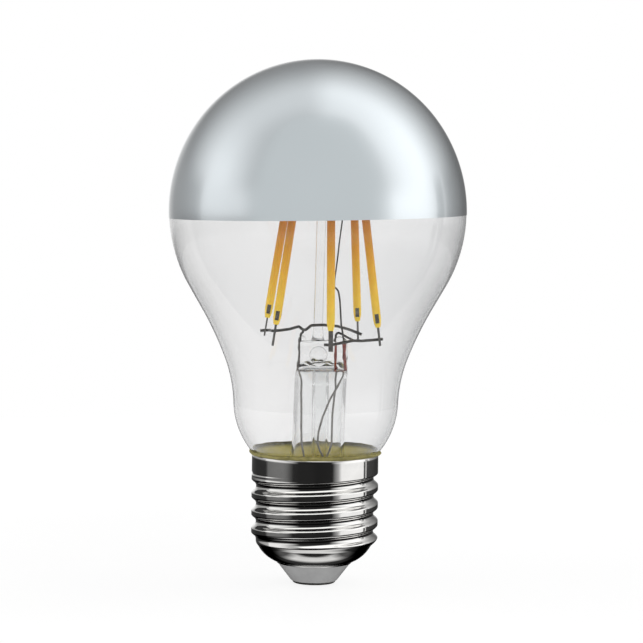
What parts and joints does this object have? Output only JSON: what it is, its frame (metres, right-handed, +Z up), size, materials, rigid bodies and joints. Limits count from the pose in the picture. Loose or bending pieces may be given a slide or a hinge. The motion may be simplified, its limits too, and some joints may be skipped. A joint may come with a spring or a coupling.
{
  "type": "silver crown light bulb",
  "caption": "Clear round screw-cap filament bulb with a mirrored crown, phosphor filament strips on wire electrodes round a glass post, pressed glass stem and E27 cap.",
  "frame": {"origin": "centre of the flat underside of the centre contact, on the axis of the bulb", "axes": "+Z up along the axis of the bulb, from the cap to the mirrored crown; -Y is the side seen in the picture; +X is to its right"},
  "size_m": [0.0604, 0.0604, 0.1066],
  "materials": {
    "envelope_glass": "clear blown glass, smooth and glossy",
    "mirror_coat": "silvered coating, smooth satin mirror",
    "stem_glass": "clear drawn glass tube and rod, fire polished",
    "nickel_wire": "drawn nickel-plated wire, satin grey",
    "copper_clad_wire": "copper-clad sealing wire, red-brown where the glass wets it",
    "tinned_copper": "tinned copper wire, soft shine",
    "phosphor": "orange-yellow phosphor in silicone, matte",
    "tab_metal": "stamped end tab, satin",
    "cement": "baked basing cement, olive yellow, matte and ragged",
    "cap_metal": "rolled sheet, nickel-plated, bright",
    "insulator_light": "light grey moulded insulator, low gloss",
    "contact_metal": "pressed contact, dull bright",
    "board": "green solder mask over fibreglass",
    "black_moulding": "black moulded package, fine matte",
    "can_metal": "drawn aluminium can, satin",
    "capacitor_resin": "dipped resin coat, red-brown gloss",
    "ferrite": "pressed ferrite, dark grey matte",
    "enamelled_copper": "enamelled copper winding, gloss",
    "resistor_body": "lacquered resistor body, satin"
  },
  "bodies": {
    "root": {"basing_cement": "cement", "bridge_rectifier": "black_moulding", "centre_contact": "contact_metal", "choke_core": "ferrite", "choke_winding": "enamelled_copper", "driver_board": "board", "driver_chip": "black_moulding", "exhaust_tube": "stem_glass", "filament_centre_front_lower_tab": "tab_metal", "filament_centre_front_strip": "phosphor", "filament_centre_front_upper_tab": "tab_metal", "filament_far_left_lower_tab": "tab_metal", "filament_far_left_strip": "phosphor", "filament_far_left_upper_tab": "tab_metal", "filament_left_front_lower_tab": "tab_metal", "filament_left_front_strip": "phosphor", "filament_left_front_upper_tab": "tab_metal", "filament_right_back_lower_tab": "tab_metal", "filament_right_back_strip": "phosphor", "filament_right_back_upper_tab": "tab_metal", "filament_right_front_lower_tab": "tab_metal", "filament_right_front_strip": "phosphor", "filament_right_front_upper_tab": "tab_metal", "film_capacitor": "capacitor_resin", "fuse_resistor": "resistor_body", "glass_envelope": "envelope_glass", "glass_post": "stem_glass", "insulator": "insulator_light", "left_carrier_wire": "nickel_wire", "left_lead_wire": "nickel_wire", "live_wire": "tinned_copper", "lower_support_wire": "nickel_wire", "mirror_crown": "mirror_coat", "neutral_wire": "tinned_copper", "outer_lead_left": "tinned_copper", "outer_lead_middle": "tinned_copper", "outer_lead_right": "tinned_copper", "resistor_lead": "tinned_copper", "right_carrier_wire": "nickel_wire", "right_lead_wire": "nickel_wire", "screw_shell": "cap_metal", "seal_wire_left": "copper_clad_wire", "seal_wire_middle": "copper_clad_wire", "seal_wire_right": "copper_clad_wire", "smoothing_capacitor": "can_metal", "stem_flare": "stem_glass", "top_ring_wire": "nickel_wire", "top_support_wire": "nickel_wire", "upper_support_wire": "nickel_wire"}
  },
  "joints": []
}
